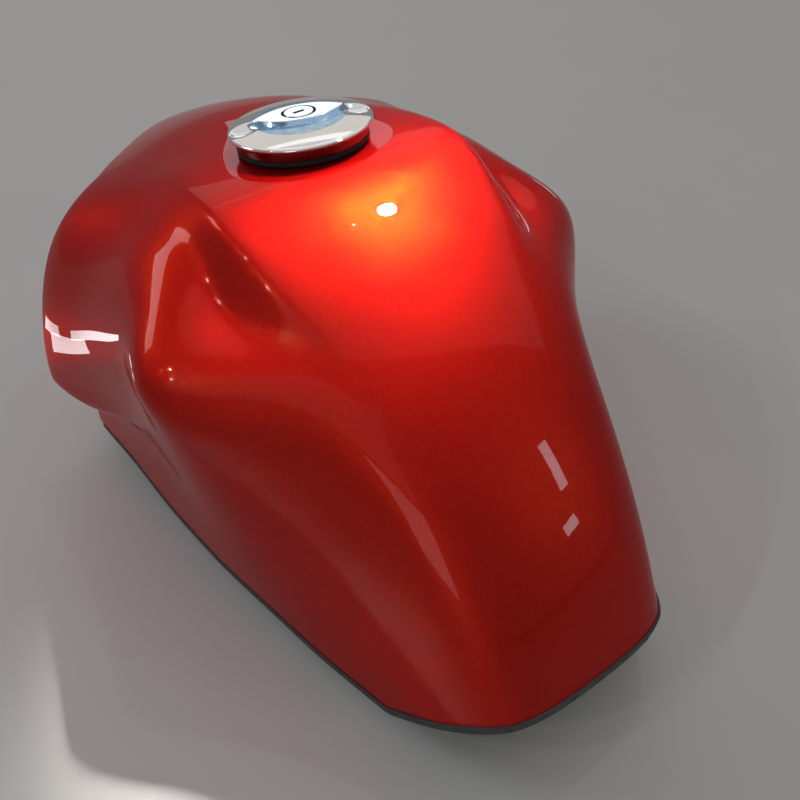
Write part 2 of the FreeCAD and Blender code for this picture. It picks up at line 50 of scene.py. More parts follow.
# Half sections of the upper shell: how far ahead, the height on the middle line, then
# (side, height) of the crease, valley, shoulder, flank, wing lip, knee and foot.
SECTIONS = (
    (215, -86, (45, -94), (64, -102), (100, -125), (130, -160), (152, -215), (146, -222), (150, -275)),
    (180, -67, (54, -77), (78, -87), (112, -106), (142, -142), (166, -210), (153, -218), (157, -275)),
    (140, -48, (66, -60.5), (94, -69), (137, -101), (179, -184), (182, -208), (158, -215), (163, -275)),
    (100, -32, (72, -45.5), (105, -56.5), (152, -90), (183, -180), (186, -205), (160, -212), (165, -275)),
    (60, -22.3, (75, -33), (106, -45.5), (147, -85), (173.5, -159), (174, -206), (156, -206), (160, -275)),
    (20, -15, (79.5, -20), (103, -37), (142, -75), (164, -134), (160, -190), (152, -197), (156, -275)),
    (-20, -7.5, (82.5, -12), (101, -27), (138, -58), (157, -107), (153, -165), (149, -186), (152, -275)),
    (-52, -3, (84.5, -9.5), (97, -30), (141, -55), (153.5, -86), (153, -145), (147, -187), (147, -275)),
    (-87, -9, (81, -19.5), (100, -48), (149, -62), (157, -90), (149, -138), (143, -191), (141, -275)),
    (-120, -20, (75, -32.5), (86, -46), (124, -65), (137, -92), (137, -142), (135, -196), (134, -275)),
    (-150, -35, (65, -46.5), (73, -51), (98, -67), (110, -95), (120, -150), (125, -205), (128, -275)),
    (-185, -57, (53.5, -65), (62, -69), (80, -81), (93, -110), (107, -160), (115, -215), (121, -275)),
    (-220, -85, (49, -90), (59, -95.5), (73, -108.5), (83.5, -136), (97, -181), (106, -230), (112, -280)),
    (-260, -125, (45, -129.5), (54, -136), (66, -148.5), (76.5, -171), (87, -206), (95, -240), (101, -285)),
    (-295, -174, (44, -179), (52, -185), (61, -196), (70, -215), (78, -237), (84, -255), (89, -290)),
    (-325, -232, (42, -236), (50, -241), (58, -249), (65, -259), (71, -270), (75, -279), (79, -295)),
)
SEAM_HEIGHT, SEAM_TURN, SEAM_RISE = -261.0, -242.0, 55.0 / 80.0
NOSE_TIP, NOSE_ROUND, NOSE_ROUND_SIDE = 200.0, 179.0, 48.0
WING_FRONT, WING_CORNER_SIDE = 100.0, 118.0
SLOPE_HEAD, SLOPE_FOOT = (196.0, -92.0), (101.5, -185.0)
TUNNEL_HALF, TUNNEL_ROOF, TUNNEL_ROUND, TUNNEL_END = 42.0, -206.0, 22.0, -262.0
DISH_RADIUS, DISH_FLOOR, DISH_SLOPE, HOLE_RADIUS = 54.0, -12.8, 7.0, 30.0
SKIN_WALL = 1.5
# The front edge rolls over and runs back as a hem: two rows of hem, then a row for each angle.
LIP_ROLL, LIP_HEM, LIP_ANGLES = 2.2, 6.0, (180, 150, 120, 90, 60, 30)
LIP_ROWS = 2 + len(LIP_ANGLES)
# Above this height, in metres in the part's own frame, the shell is near the filler.
NEAR_FILLER = 0.2

# Dense rows along the shell: how far apart, and how many rows long a ripple is smoothed out.
ROW_STEP, RIPPLE = 2.0, 5.0
# Columns of the shell's grid: from the middle line to the crease, on to each next line, and to the seam.
COLUMN_COUNTS = (24, 11, 24, 15, 9, 13)
# Points of a dense section along a straight span and an arc, and how far its last line runs past the foot.
SPAN_POINTS, ARC_POINTS, PAST_FOOT = 60, 80, 1.6

# How softly the section turns between its lines, and at each line along the shell: spreads in millimetres.
SOFT_BETWEEN = 16
SOFTNESS_STATIONS = (210, 140, 60, 0, -52, -87, -120, -150, -200, -325)
SOFTNESS = {
    "crease": (10, 9, 7, 5, 3.2, 3.4, 5, 8, 14, 14),
    "valley": (12, 11, 9, 6.5, 5, 5, 8, 12, 14, 14),
    "shoulder": (10, 12, 13, 13, 11, 9, 8, 9, 10, 10),
    "flank": (10, 9, 8, 8, 7.5, 8, 9, 11, 13, 14),
    "lip": (4, 4, 4, 4, 7, 14, 18, 20, 18, 14),
    "knee": (3, 3, 3.5, 5, 9, 14, 18, 20, 18, 14),
}


def placed(points):
    """Points in millimetres from the rim's middle, as metres in the part's own frame."""
    return (points + RIM_MIDDLE) * MM


def round_cap(points):
    """Points drawn round the cap's axis (ahead, side, up), turned to the deck's tilt."""
    return points @ np.array([CAP_AHEAD, [0.0, 1.0, 0.0], CAP_AXIS])


def from_cap(point):
    """How high a place lies over the rim's middle, and its offset from the cap's axis, in metres."""
    offset = point - Vector(RIM_MIDDLE * MM)
    up = offset.dot(Vector(CAP_AXIS))
    return up, offset - Vector(CAP_AXIS) * up


def natural_cubic(places, values, at):
    """A smooth curve through rows of values at rising places, read at other places."""
    places, values = np.array(places), np.array(values)
    step = np.diff(places)
    system, load = np.eye(len(places)), np.zeros_like(values)
    for i in range(1, len(places) - 1):
        system[i, i - 1:i + 2] = step[i - 1], 2 * (step[i - 1] + step[i]), step[i]
        load[i] = 6 * ((values[i + 1] - values[i]) / step[i] - (values[i] - values[i - 1]) / step[i - 1])
    bend = np.linalg.solve(system, load)
    i = np.clip(np.searchsorted(places, at) - 1, 0, len(step) - 1)
    a = ((places[i + 1] - at) / step[i])[:, None]
    b = 1 - a
    curve = a * values[i] + b * values[i + 1]
    return curve + ((a ** 3 - a) * bend[i] + (b ** 3 - b) * bend[i + 1]) * (step[i] ** 2)[:, None] / 6


def relaxed(rows, reach):
    """Rows of values along the shell with their ripples shorter than reach (in rows) smoothed out."""
    count = len(rows)
    bend = np.zeros((count - 2, count))
    for i in range(count - 2):
        bend[i, i:i + 3] = 1, -2, 1
    return np.linalg.solve(np.eye(count) + reach ** 4 * bend.T @ bend, rows)


def arc_through(start, middle, end, count):
    """An even arc from start to end that passes by the middle point."""
    t = np.linspace(0, 1, count)[:, None]
    pull = 2 * middle - (start + end) / 2
    return (1 - t) ** 2 * start + 2 * t * (1 - t) * pull + t ** 2 * end


def run_length(points):
    """The length run along a line of points, at each of them."""
    return np.concatenate([[0], np.cumsum(np.linalg.norm(np.diff(points, axis=0), axis=1))])


def softened(line, along, at, spread):
    """A line read at some lengths along it, each point averaged over a spread of its own."""
    weight = np.exp(-0.5 * ((along[None, :] - at[:, None]) / spread[:, None]) ** 2)
    weight *= (np.gradient(along) + 1e-6)[None, :]
    return weight @ line / weight.sum(1)[:, None]


def half_section(key, softness):
    """The columns of one half section, from the middle line to the seam, softened at its lines."""
    middle, crease, valley, shoulder, flank, lip, knee, foot = key
    t = np.linspace(0, 1, SPAN_POINTS)[:, None]
    rise = middle[1] - crease[1]
    radius = (crease[0] ** 2 + rise ** 2) / (2 * rise)
    turn = math.asin(min(crease[0] / radius, 1.0)) * t
    dome = np.hstack([radius * np.sin(turn), middle[1] - radius * (1 - np.cos(turn))])
    hollow, side, tuck = [a + (b - a) * t[1:] for a, b in ((crease, valley), (flank, lip), (lip, knee))]
    over = arc_through(valley, shoulder, flank, ARC_POINTS)[1:]
    below = knee + (foot - knee) * np.linspace(0, PAST_FOOT, ARC_POINTS)[1:, None]
    half = np.vstack([dome, hollow, over, side, tuck, below])
    ends = np.cumsum([len(dome) - 1, len(hollow), len(over), len(side), len(tuck)])
    whole = np.vstack([half[:0:-1] * [-1, 1], half])
    along = run_length(whole)
    along -= along[len(half) - 1]
    line = dict(zip(("crease", "valley", "flank", "lip", "knee"), along[len(half) - 1 + ends]))
    cut = np.interp(-SEAM_HEIGHT, -half[:, 1], along[len(half) - 1:])
    marks = np.minimum([0, *line.values(), cut], cut)
    at = np.concatenate([marks[i] + (marks[i + 1] - marks[i]) * (np.arange(count) / count)
                         for i, count in enumerate(COLUMN_COUNTS)] + [marks[-1:]])
    line["shoulder"] = (line["valley"] + line["flank"]) / 2
    names = sorted(softness, key=line.get)
    spread = np.interp(at, [0] + [line[name] for name in names] + [line["knee"] + 60],
                       [SOFT_BETWEEN] + [softness[name] for name in names] + [SOFT_BETWEEN])
    return softened(whole, along, at, spread)


def lip_ahead(side):
    """Front edge of the upper shell over a place that far from the middle line."""
    side = np.abs(side)
    nose = np.where(side < NOSE_ROUND_SIDE,
                    NOSE_TIP - (NOSE_TIP - NOSE_ROUND) * (side / NOSE_ROUND_SIDE) ** 2,
                    NOSE_ROUND + (WING_FRONT - NOSE_ROUND) * (side - NOSE_ROUND_SIDE)
                    / (WING_CORNER_SIDE - NOSE_ROUND_SIDE))
    return np.where(side > WING_CORNER_SIDE, WING_FRONT, nose)


def seam_height(ahead):
    """Height of the seam: level, and rising under the tail."""
    return SEAM_HEIGHT + SEAM_RISE * np.maximum(SEAM_TURN - ahead, 0)


def dished(points):
    """Points of the shell pressed down into the dish round the filler."""
    height = points @ CAP_AXIS
    out = np.linalg.norm(points - height[..., None] * CAP_AXIS, axis=-1)
    t = np.clip((DISH_RADIUS + 2.5 - out) / DISH_SLOPE, 0, 1)
    weight = t * t * t * (t * (6 * t - 15) + 10)
    drop = np.where(points[..., 2] > -60, (DISH_FLOOR - height) * weight, 0)
    return points + drop[..., None] * CAP_AXIS


def shell_surface():
    """Half of the shell before it is trimmed: dense sections from the nose to the tail."""
    ahead = np.arange(SECTIONS[0][0], SECTIONS[-1][0] - 0.1, -ROW_STEP)
    stations = [section[0] for section in SECTIONS][::-1]
    table = [[0, section[1]] + [value for pair in section[2:] for value in pair] for section in SECTIONS]
    keys = relaxed(natural_cubic(stations, table[::-1], ahead), RIPPLE)
    surface = []
    for x, row in zip(ahead, keys):
        softness = {name: np.interp(x, SOFTNESS_STATIONS[::-1], values[::-1])
                    for name, values in SOFTNESS.items()}
        half = half_section(row.reshape(-1, 2), softness)
        surface.append(np.column_stack([np.full(len(half), x), half]))
    return np.array(surface)


def crossing(line, gap, after):
    """How far ahead a column's gap passes zero, between that row and the one before it."""
    share = gap[after - 1] / (gap[after - 1] - gap[after])
    return line[after - 1, 0] + (line[after, 0] - line[after - 1, 0]) * share


def trimmed_ends(surface):
    """For each column, how far ahead the shell begins at its front edge and ends at the seam."""
    front, tail = [], []
    for line in surface.transpose(1, 0, 2):
        before_lip = line[:, 0] - lip_ahead(line[:, 1])
        front.append(crossing(line, before_lip, np.argmax(before_lip <= 0)))
        over_seam = line[:, 2] - seam_height(line[:, 0])
        gone = np.argmax((over_seam <= 0.01) & (line[:, 0] < SEAM_TURN))
        tail.append(crossing(line, over_seam, gone) if gone else SEAM_TURN)
    tail[-1] = SEAM_TURN
    # The front edge is averaged over a few columns to each side, which rounds its corners.
    mirrored = np.concatenate([front[:0:-1], front])
    kernel = np.exp(-0.5 * (np.arange(-6, 7) / 2.2) ** 2)
    front = np.convolve(np.pad(mirrored, 6, mode="edge"), kernel / kernel.sum(), "valid")[len(tail) - 1:]
    return front - LIP_ROLL, np.array(tail)


def with_lip(rows):
    """The rows with a front edge that rolls over and runs back as a hem."""
    forward = rows[0] - rows[1]
    up = np.cross(np.gradient(rows[0], axis=0), forward)
    up *= np.sign(up[len(up) // 2, 2]) / np.linalg.norm(up, axis=1)[:, None]
    level = forward - (forward * up).sum(1)[:, None] * up
    level /= np.linalg.norm(level, axis=1)[:, None]
    lip = [rows[0] - up * (2 * LIP_ROLL) - level * hem for hem in (LIP_HEM, LIP_HEM / 2)]
    for angle in np.radians(LIP_ANGLES):
        lip.append(rows[0] + level * (LIP_ROLL * math.sin(angle)) - up * (LIP_ROLL * (1 - math.cos(angle))))
    return np.concatenate([np.array(lip), rows])


def shell_grid(row_count):
    """The upper shell as a grid of points: rows from the nose to the tail, columns over it."""
    surface = shell_surface()
    front, tail = trimmed_ends(surface)
    t = np.linspace(0, 1, row_count)
    rows = np.empty((row_count, len(front), 3))
    for j in range(len(front)):
        x = front[j] + (tail[j] - front[j]) * t
        for axis in range(3):
            rows[:, j, axis] = np.interp(-x, -surface[:, j, 0], surface[:, j, axis])
    rows = np.concatenate([(rows * [1, -1, 1])[:, :0:-1], rows], axis=1)
    return with_lip(dished(rows))


def add_piece(name, mesh):
    """A mesh as an object of the scene."""
    piece = bpy.data.objects.new(name, mesh)
    bpy.context.scene.collection.objects.link(piece)
    return piece


def smooth(mesh):
    """Shade every face of a mesh smooth."""
    mesh.polygons.foreach_set("use_smooth", [True] * len(mesh.polygons))
    mesh.update()
    return mesh


def mesh_from(name, points, faces):
    """A smooth mesh in metres from points in millimetres."""
    mesh = bpy.data.meshes.new(name)
    mesh.from_pydata([tuple(p) for p in placed(points)], [], faces)
    return smooth(mesh)


def grid_faces(rows, columns, closed=False):
    """The faces of a grid of points, closed into a tube or not."""
    around = columns if closed else columns - 1
    return [(i * columns + j, i * columns + (j + 1) % columns,
             (i + 1) * columns + (j + 1) % columns, (i + 1) * columns + j)
            for i in range(rows - 1) for j in range(around)]


def outward(mesh):
    """Merge doubled points and turn every face outwards."""
    work = bmesh.new()
    work.from_mesh(mesh)
    bmesh.ops.remove_doubles(work, verts=work.verts, dist=2e-6)
    bmesh.ops.dissolve_degenerate(work, edges=work.edges, dist=1e-6)
    bmesh.ops.recalc_face_normals(work, faces=work.faces)
    work.to_mesh(mesh)
    work.free()
    return mesh


def facing(mesh, axis, sign):
    """Turn a sheet over if most of it looks the other way along an axis."""
    if sum(face.normal[axis] * face.area for face in mesh.polygons) * sign < 0:
        mesh.flip_normals()
    return mesh


def walled(piece):
    """Give a sheet its thickness, inwards from its faces."""
    wall = piece.modifiers.new("Wall", "SOLIDIFY")
    wall.thickness, wall.offset, wall.use_even_offset = SKIN_WALL * MM, -1.0, False
    wall.use_quality_normals = True
    return baked(piece)


def baked(piece):
    """Apply the piece's modifiers to its mesh."""
    evaluated = piece.evaluated_get(bpy.context.evaluated_depsgraph_get())
    mesh = bpy.data.meshes.new_from_object(evaluated)
    piece.modifiers.clear()
    piece.data = mesh
    mesh.name = piece.name
    return piece


def crisp(mesh, degrees=40):
    """Keep a mesh's edges sharp where they turn more than an angle."""
    mesh.set_sharp_from_angle(angle=math.radians(degrees))
    return mesh


# Materials.


def empty_group(name, inputs, outputs, kind="ShaderNodeTree"):
    """An empty group with named sockets, what it is given, and its output node."""
    group = bpy.data.node_groups.new(name, kind)
    for side, sockets in (("INPUT", inputs), ("OUTPUT", outputs)):
        for label, sort in sockets.items():
            group.interface.new_socket(label, in_out=side, socket_type="NodeSocket" + sort)
    return group, group.nodes.new("NodeGroupInput").outputs, group.nodes.new("NodeGroupOutput")


def feed(tree, target, inputs):
    """Set or link the inputs of a node, by name or number."""
    for name, value in inputs.items():
        if isinstance(value, bpy.types.NodeSocket):
            tree.links.new(value, target.inputs[name])
        else:
            target.inputs[name].default_value = value


def node(tree, kind, inputs=(), **settings):
    """A node with its settings and its inputs."""
    made = tree.nodes.new(kind)
    for name, value in settings.items():
        setattr(made, name, value)
    feed(tree, made, dict(inputs))
    return made


def ranged(tree, value, low, high, start=0.0, end=1.0):
    """A value between start and end, as one between low and high."""
    return node(tree, "ShaderNodeMapRange", {"Value": value, "From Min": start, "From Max": end,
                                             "To Min": low, "To Max": high}).outputs["Result"]


def mottle_group():
    """Soft patches between two colours, with a value that follows them."""
    group, given, out = empty_group(
        "mottle", {"Vector": "Vector", "Scale": "Float", "Dark": "Color", "Light": "Color"},
        {"Color": "Color", "Value": "Float"})
    noise = node(group, "ShaderNodeTexNoise", {"Vector": given["Vector"], "Scale": given["Scale"],
                                               "Detail": 5.0, "Roughness": 0.6})
    spread = ranged(group, noise.outputs["Fac"], 0.0, 1.0, start=0.3, end=0.7)
    mix = node(group, "ShaderNodeMix", {0: spread, 6: given["Dark"], 7: given["Light"]}, data_type="RGBA")
    feed(group, out, {"Color": mix.outputs[2], "Value": spread})
    return group


def pebble_group():
    """Fine surface texture: a bumped normal from small noise."""
    group, given, out = empty_group(
        "pebble", {"Vector": "Vector", "Scale": "Float", "Height": "Float"}, {"Normal": "Vector"})
    noise = node(group, "ShaderNodeTexNoise", {"Vector": given["Vector"], "Scale": given["Scale"],
                                               "Detail": 3.0})
    bump = node(group, "ShaderNodeBump", {"Height": noise.outputs["Fac"], "Strength": given["Height"],
                                          "Distance": 0.0004})
    feed(group, out, {"Normal": bump.outputs["Normal"]})
    return group


def flake_group():
    """Small cells that each tip the surface a little, and a share of which are bright metal flakes."""
    group, given, out = empty_group(
        "flake", {"Vector": "Vector", "Scale": "Float", "Tip": "Float", "Share": "Float"},
        {"Normal": "Vector", "Flake": "Float"})
    cells = node(group, "ShaderNodeTexVoronoi", {"Vector": given["Vector"], "Scale": given["Scale"]})
    centred = node(group, "ShaderNodeVectorMath", {0: cells.outputs["Color"], 1: (0.5, 0.5, 0.5)},
                   operation="SUBTRACT")
    tipped = node(group, "ShaderNodeVectorMath", {0: centred.outputs[0], "Scale": given["Tip"]},
                  operation="SCALE")
    surface = node(group, "ShaderNodeNewGeometry")
    added = node(group, "ShaderNodeVectorMath", {0: surface.outputs["Normal"], 1: tipped.outputs[0]},
                 operation="ADD")
    unit = node(group, "ShaderNodeVectorMath", {0: added.outputs[0]}, operation="NORMALIZE")
    chance = node(group, "ShaderNodeTexWhiteNoise", {"Vector": cells.outputs["Position"]})
    flake = node(group, "ShaderNodeMath", {0: chance.outputs["Value"], 1: given["Share"]},
                 operation="LESS_THAN")
    feed(group, out, {"Normal": unit.outputs[0], "Flake": flake.outputs[0]})
    return group


MOTTLE, PEBBLE, FLAKE = mottle_group(), pebble_group(), flake_group()


def new_material(name, **constants):
    """A material with one Principled shader, its plain values, and the object's coordinates."""
    material = bpy.data.materials.new(name)
    material.use_nodes = True
    tree = material.node_tree
    shader = tree.nodes["Principled BSDF"]
    for label, value in constants.items():
        shader.inputs[label.replace("_", " ")].default_value = value
    place = node(tree, "ShaderNodeTexCoord").outputs["Object"]
    return material, tree, shader, place


def group_node(tree, group, **inputs):
    """A shader group in a tree, its inputs set or linked by name."""
    return node(tree, "ShaderNodeGroup", inputs, node_tree=group)


def candy_red():
    """Translucent deep red with warm metal flakes in it, under thick clear coat."""
    material, tree, shader, place = new_material(
        "candy_red", Coat_Weight=0.7, Coat_Roughness=0.008, Coat_IOR=1.3,
        Specular_IOR_Level=0.0, Specular_Tint=(0.7, 0.03, 0.02, 1))
    flakes = group_node(tree, FLAKE, Vector=place, Scale=15000.0, Tip=0.21, Share=0.055)
    flake = flakes.outputs["Flake"]
    clouds = group_node(tree, MOTTLE, Vector=place, Scale=9.0, Dark=(0.44, 0.003, 0.003, 1),
                        Light=(0.52, 0.004, 0.004, 1))
    colour = node(tree, "ShaderNodeMix", {0: flake, 6: clouds.outputs["Color"], 7: (0.95, 0.14, 0.004, 1)},
                  data_type="RGBA")
    feed(tree, shader, {"Base Color": colour.outputs[2], "Roughness": ranged(tree, flake, 0.5, 0.28),
                        "Metallic": ranged(tree, flake, 0.88, 1.0), "Normal": flakes.outputs["Normal"]})
    return material


def finish(name, dark, light, scale, roughness, bump, **constants):
    """A plain finish: patches of two near colours, a roughness that follows them, fine texture."""
    material, tree, shader, place = new_material(name, **constants)
    patches = group_node(tree, MOTTLE, Vector=place, Scale=scale, Dark=dark + (1,), Light=light + (1,))
    texture = group_node(tree, PEBBLE, Vector=place, Scale=900.0, Height=bump)
    feed(tree, shader, {"Base Color": patches.outputs["Color"], "Normal": texture.outputs["Normal"],
                        "Roughness": ranged(tree, patches.outputs["Value"], *roughness)})
    return material


CANDY = candy_red()
CHROME = finish("polished_chrome", (0.80, 0.81, 0.83), (0.88, 0.88, 0.89), 40.0, (0.03, 0.07), 0.01,
                Metallic=1.0)
# A darker copy of the chrome, tinted red, for the cap's skirt: painted shade under the rim, with a painted
# reflection of the red paint.
PAINTED_SHADE_CHROME = finish("unpolished_chrome", (0.13, 0.10, 0.10), (0.18, 0.15, 0.15), 60.0, (0.12, 0.2), 0.05,
                       Metallic=1.0)
# Blue-grey chrome for the grip's flank and top: a painted reflection of the room's blue-grey light.
PAINTED_REFLECTION_CHROME = finish("blued_chrome", (0.30, 0.48, 0.70), (0.50, 0.68, 0.86), 260.0, (0.10, 0.22), 0.04,
                      Metallic=1.0)
SATIN_BLACK = finish("satin_black", (0.018, 0.018, 0.019), (0.030, 0.030, 0.031), 70.0, (0.42, 0.55), 0.25,
                     Specular_IOR_Level=0.5)
ZINC = finish("zinc_plate", (0.50, 0.50, 0.47), (0.66, 0.66, 0.64), 160.0, (0.24, 0.42), 0.12, Metallic=1.0)
RUBBER = finish("moulded_rubber", (0.014, 0.014, 0.014), (0.028, 0.028, 0.028), 220.0, (0.62, 0.8), 0.5,
                Specular_IOR_Level=0.25)
PUMP_PLASTIC = finish("glass_filled_plastic", (0.022, 0.022, 0.025), (0.045, 0.045, 0.048), 300.0,
                      (0.4, 0.55), 0.35)
INSERT_PLASTIC = finish("acetal", (0.030, 0.030, 0.032), (0.050, 0.050, 0.052), 120.0, (0.3, 0.42), 0.2)
# Near-black for the lock's well, key slot and groove and for the filler ring: painted shade in these recesses
# and gaps.
PAINTED_SHADE_BLACK = finish("deep_black", (0.004, 0.004, 0.004), (0.010, 0.010, 0.010), 300.0, (0.5, 0.6), 0.2,
                    Specular_IOR_Level=0.1)


def dress(piece, material, slot, body, *nodes):
    """Paint a finished piece, give it its body, and let it stand for its CAD nodes; its slot is not used."""
    if not piece.data.materials:
        piece.data.materials.append(material)
    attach(piece, body)
    if nodes:
        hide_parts(*nodes)
    return piece


# The upper shell and the wall under its nose.


def upper_shell(rows):
    """The pressed shell with its filler hole."""
    mesh = mesh_from("upper_shell", rows.reshape(-1, 3), grid_faces(*rows.shape[:2]))
    hole = HOLE_RADIUS * MM
    work = bmesh.new()
    work.from_mesh(mesh)
    covered = [face for face in work.faces if face.calc_center_median().z > NEAR_FILLER
               and all(from_cap(vert.co)[1].length < hole for vert in face.verts)]
    bmesh.ops.delete(work, geom=covered, context="FACES")
    for vert in [vert for vert in work.verts if vert.is_boundary and vert.co.z > NEAR_FILLER]:
        out = from_cap(vert.co)[1]
        if out.length < 1.3 * hole:
            vert.co += out.normalized() * hole - out
    work.to_mesh(mesh)
    work.free()
    return walled(add_piece("upper_shell", facing(mesh, 2, 1)))


shell_rows = shell_grid(176)
shell = upper_shell(shell_rows)
crisp(shell.data, 50)
dress(shell, CANDY, "tank_paint", "root", "tank_skin")


WALL_INSET, WALL_DROP, WALL_BACK = 1.6, 3.6, SLOPE_FOOT[0] - 3
ARCH_HALF, ARCH_ROOF, ARCH_ROUND = TUNNEL_HALF + 1.5, TUNNEL_ROOF + 1.5, TUNNEL_ROUND + 1.5


def wall_foot(side):
    """How low the front wall reaches: to the seam, or to the arch over the tunnel."""
    inside = ARCH_HALF - abs(side)
    if inside < 0:
        return SEAM_HEIGHT
    corner = max(ARCH_ROUND - inside, 0)
    return ARCH_ROOF - ARCH_ROUND + math.sqrt(ARCH_ROUND ** 2 - corner ** 2)


def wall_column(side, top):
    """One line of the front wall: down from the nose, back down the slope, then to its foot."""
    ahead = lip_ahead(side) - WALL_INSET
    share = (SLOPE_HEAD[0] - ahead) / (SLOPE_HEAD[0] - SLOPE_FOOT[0])
    slope = SLOPE_HEAD[1] + (SLOPE_FOOT[1] - SLOPE_HEAD[1]) * share
    corners = np.array([(ahead, side, top), (ahead, side, min(slope, top - 0.5)),
                        (WALL_BACK, side, SLOPE_FOOT[1]), (WALL_BACK, side, wall_foot(side))])
    dense = np.vstack([a + (b - a) * np.linspace(0, 1, SPAN_POINTS)[:, None]
                       for a, b in zip(corners, corners[1:])])
    along = run_length(dense)
    slope_start, slope_end = along[SPAN_POINTS - 1], along[2 * SPAN_POINTS - 1]
    at = np.concatenate([np.linspace(0, slope_start, 6), np.linspace(slope_start, slope_end, 26)[1:],
                         np.linspace(slope_end, along[-1], 18)[1:]])
    near = np.minimum(np.minimum(at, along[-1] - at) / 3, 3.0) + 1e-3
    return softened(dense, along, at, near)


def cheek(wing_edge, inner, sign):
    """The wall between a wing's front edge and the outer line of the panel under the nose."""
    outline = wing_edge if wing_edge[0, 2] > wing_edge[-1, 2] else wing_edge[::-1]
    outline = outline + [-1.2, 0, 0]
    inward = (np.array([0, 150 * sign, -150]) - outline) * [0, 1, 1]
    outline = outline + inward / np.linalg.norm(inward, axis=1)[:, None] * 2.0
    length, share = run_length(inner), run_length(outline)
    target = np.column_stack([np.interp(share / share[-1] * length[-1], length, inner[:, k])
                              for k in range(3)])
    return outline[None] + (target - outline)[None] * np.linspace(0, 1, 12)[:, None, None]


def front_wall(edge):
    """The pressed wall that closes the shell under the nose and between the wings."""
    corner = WING_CORNER_SIDE - 3
    beside = np.linspace(ARCH_HALF + 0.05, corner, 24)
    sides = np.concatenate([-beside[::-1], np.linspace(-ARCH_HALF, ARCH_HALF, 32), beside])
    nose = edge[np.abs(edge[:, 1]) < WING_CORNER_SIDE + 12]
    nose = nose[np.argsort(nose[:, 1])]
    panel = np.array([wall_column(side, np.interp(side, nose[:, 1], nose[:, 2]) - WALL_DROP)
                      for side in sides])
    grids = [panel]
    for sign, inner in ((-1, panel[0]), (1, panel[-1])):
        grids.append(cheek(edge[edge[:, 1] * sign > WING_CORNER_SIDE - 1], inner, sign))
    points, faces = np.empty((0, 3)), []
    for grid in grids:
        faces += [tuple(len(points) + k for k in face) for face in grid_faces(*grid.shape[:2])]
        points = np.vstack([points, grid.reshape(-1, 3)])
    mesh = outward(mesh_from("front_wall", points, faces))
    return walled(add_piece("front_wall", facing(mesh, 0, 1)))


dress(front_wall(shell_rows[LIP_ROWS]), CANDY, "tank_paint", "root", "tank_skin")


# The floor pan with its tunnel.


def pan_row(ahead, edge):
    """One line across the floor: flat from the edge, over the tunnel's arch, and mirrored."""
    seam = seam_height(ahead) - 1.2
    arch_share = 1 / (1 + math.exp(-np.clip((ahead - TUNNEL_END) / 1.6, -30, 30)))
    roof = max(TUNNEL_ROOF - seam, 0) * arch_share
    wide = min(TUNNEL_HALF, max(edge - 8, 1))
    radius = min(TUNNEL_ROUND, roof) if roof > 0.5 else 0.4
    corner = [(wide - radius * (1 - math.cos(a)), seam + roof - radius * (1 - math.sin(a)))
              for a in np.radians(np.linspace(0, 90, 9))]
    line = np.array([(edge, seam), (wide, seam)] + corner + [(0, seam + roof)])
    length = run_length(line)
    at = np.concatenate([np.linspace(0, length[1], 16), np.linspace(length[1], length[2], 8)[1:],
                         np.linspace(length[2], length[10], 9)[1:],
                         np.linspace(length[10], length[-1], 8)[1:]])
    half = np.column_stack([np.interp(at, length, line[:, k]) for k in range(2)])
    whole = np.vstack([half, (half * [-1, 1])[-2::-1]])
    return np.column_stack([np.full(len(whole), ahead), whole])


def floor_pan(body):
    """The pressed floor: flat beside the tunnel's arch, turned up under the tail."""
    outline = np.vstack([body[:, -1], body[-1, ::-1][1:-1]])
    outline = outline[outline[:, 1] >= 0]
    outline = outline[np.argsort(-outline[:, 0])]
    ahead = np.concatenate([np.linspace(98, TUNNEL_END + 14, 64),
                            np.linspace(TUNNEL_END + 12, TUNNEL_END - 6, 10),
                            np.linspace(TUNNEL_END - 9, outline[-1, 0] + 1.0, 16)])
    rows = np.array([pan_row(x, np.interp(-x, -outline[:, 0], outline[:, 1]) - 0.8) for x in ahead])
    for _ in range(5):
        rows[1:-1, 1:-1] += 0.22 * (rows[2:, 1:-1] + rows[:-2, 1:-1] + rows[1:-1, 2:] + rows[1:-1, :-2]
                                    - 4 * rows[1:-1, 1:-1]) * [0, 1, 1]
    mesh = mesh_from("floor_pan", rows.reshape(-1, 3), grid_faces(*rows.shape[:2]))
    return walled(add_piece("floor_pan", facing(mesh, 2, -1)))


dress(floor_pan(shell_rows[LIP_ROWS:]), SATIN_BLACK, "underside_paint", "root", "tank_floor")


# The filler cap.

CAP_RADIUS, RIM_ROUND, RIM_DROP, RIM_TURNS = 45.0, 1.8, 1.1, np.radians([20, 40, 60, 80])
DOME_RISE, DOME_ROWS, LOCK_OPENING = 4.3, 52, 9
SKIRT_RADIUS, SKIRT_FOOT, SKIRT_BORE = 41.5, -8.6, 39.5
BAR_TURN = math.radians(18)
BAR_ALONG = np.array([math.sin(BAR_TURN), math.cos(BAR_TURN), 0.0])
BAR_ACROSS = np.array([math.cos(BAR_TURN), -math.sin(BAR_TURN), 0.0])
SCOOP_BALL, SCOOP_PLACE, SCOOP_LOW = 16.0, 36.5, -1.5
GRIP_LENGTH, GRIP_WIDTH, GRIP_TOP = 28.0, 14.0, 6.5
LOCK_RADIUS, LOCK_GAP = 9.2, 1.4
LOCK_WELL = LOCK_RADIUS + LOCK_GAP
# Rings up the grip's flank: how far its outline is drawn in, and the share of its height.
GRIP_FLANK = ((-2.7, 0), (-2.4, 0.05), (-2.15, 0.12), (-1.6, 0.34), (-0.95, 0.6), (-0.4, 0.86), (-0.2, 0.925),
              (-0.05, 0.965), (0.2, 0.99), (0.55, 1))


